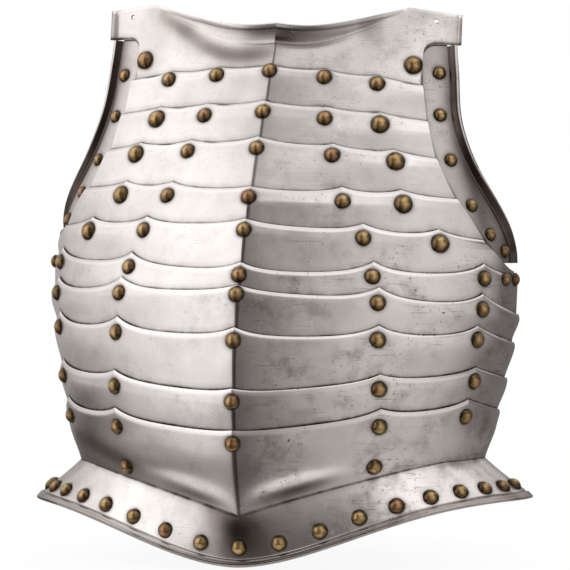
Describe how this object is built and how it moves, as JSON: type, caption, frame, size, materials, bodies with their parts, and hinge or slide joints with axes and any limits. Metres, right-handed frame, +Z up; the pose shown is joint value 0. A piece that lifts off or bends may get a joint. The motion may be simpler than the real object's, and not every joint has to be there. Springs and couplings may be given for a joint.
{
  "type": "segmented breastplate",
  "caption": "Steel breastplate of upward-lapped lames on sliding rivets between a top plate with a turned neck band and a flanged waist plate, with a swinging gusset at each armhole.",
  "frame": {"origin": "middle of the wearer's waist, level with the side edges of the plates and with the lowest lap's rivets", "axes": "+Z up, -Y forwards to the ridge, +X to the wearer's left"},
  "size_m": [0.353, 0.1287, 0.38],
  "materials": {
    "steel": "bright polished steel with light pitting",
    "brass": "dark aged brass",
    "iron": "plain dark iron washers"
  },
  "bodies": {
    "top_plate": {"top_plate": "steel", "gusset_pivot_left": "brass", "gusset_pivot_right": "brass", "pivot_washer_left": "iron", "pivot_washer_right": "iron"},
    "lame_1": {"lame_1": "steel", "rivets_row_1": "brass", "washers_row_1": "iron"},
    "lame_2": {"lame_2": "steel", "rivets_row_2": "brass", "washers_row_2": "iron"},
    "lame_3": {"lame_3": "steel", "rivets_row_3": "brass", "washers_row_3": "iron"},
    "lame_4": {"lame_4": "steel", "rivets_row_4": "brass", "washers_row_4": "iron"},
    "lame_5": {"lame_5": "steel", "rivets_row_5": "brass", "washers_row_5": "iron"},
    "lame_6": {"lame_6": "steel", "rivets_row_6": "brass", "washers_row_6": "iron"},
    "lame_7": {"lame_7": "steel", "rivets_row_7": "brass", "washers_row_7": "iron"},
    "lame_8": {"lame_8": "steel", "rivets_row_8": "brass", "washers_row_8": "iron"},
    "lame_9": {"lame_9": "steel", "rivets_row_9": "brass", "washers_row_9": "iron"},
    "waist_plate": {"waist_plate": "steel", "rivets_row_10": "brass", "washers_row_10": "iron", "waist_rivets": "brass", "waist_washers": "iron", "flange_rivets": "brass", "flange_washers": "iron"},
    "gusset_left": {"gusset_left": "steel", "gusset_rivets_left": "brass", "gusset_washers_left": "iron"},
    "gusset_right": {"gusset_right": "steel", "gusset_rivets_right": "brass", "gusset_washers_right": "iron"}
  },
  "joints": [
    {"name": "row_1_slide", "type": "slide", "parent": "top_plate", "child": "lame_1", "axis": [0, 0.4504, 0.8928], "range_m": [0, 0.0008]},
    {"name": "row_2_slide", "type": "slide", "parent": "lame_1", "child": "lame_2", "axis": [0, 0.4911, 0.8711], "range_m": [0, 0.0008]},
    {"name": "row_3_slide", "type": "slide", "parent": "lame_2", "child": "lame_3", "axis": [0, 0.4692, 0.8831], "range_m": [0, 0.0008]},
    {"name": "row_4_slide", "type": "slide", "parent": "lame_3", "child": "lame_4", "axis": [0, 0.4505, 0.8928], "range_m": [0, 0.0008]},
    {"name": "row_5_slide", "type": "slide", "parent": "lame_4", "child": "lame_5", "axis": [0, 0.3666, 0.9304], "range_m": [0, 0.0008]},
    {"name": "row_6_slide", "type": "slide", "parent": "lame_5", "child": "lame_6", "axis": [0, 0.2754, 0.9613], "range_m": [0, 0.0008]},
    {"name": "row_7_slide", "type": "slide", "parent": "lame_6", "child": "lame_7", "axis": [0, 0.2477, 0.9688], "range_m": [0, 0.0012]},
    {"name": "row_8_slide", "type": "slide", "parent": "lame_7", "child": "lame_8", "axis": [0, 0.1835, 0.983], "range_m": [0, 0.0022]},
    {"name": "row_9_slide", "type": "slide", "parent": "lame_8", "child": "lame_9", "axis": [0, -0.0227, 0.9997], "range_m": [0, 0.0022]},
    {"name": "row_10_slide", "type": "slide", "parent": "lame_9", "child": "waist_plate", "axis": [0, -0.1312, 0.9914], "range_m": [0, 0.0022]},
    {"name": "gusset_left_swing", "type": "hinge", "parent": "top_plate", "child": "gusset_left", "pos_m": [0.0955, -0.01815, 0.26917], "axis": [-0.2597, 0.9206, -0.2916], "range_deg": [0, 2]},
    {"name": "gusset_right_swing", "type": "hinge", "parent": "top_plate", "child": "gusset_right", "pos_m": [-0.0955, -0.01815, 0.27483], "axis": [-0.2434, -0.9246, 0.2929], "range_deg": [0, 2]}
  ]
}
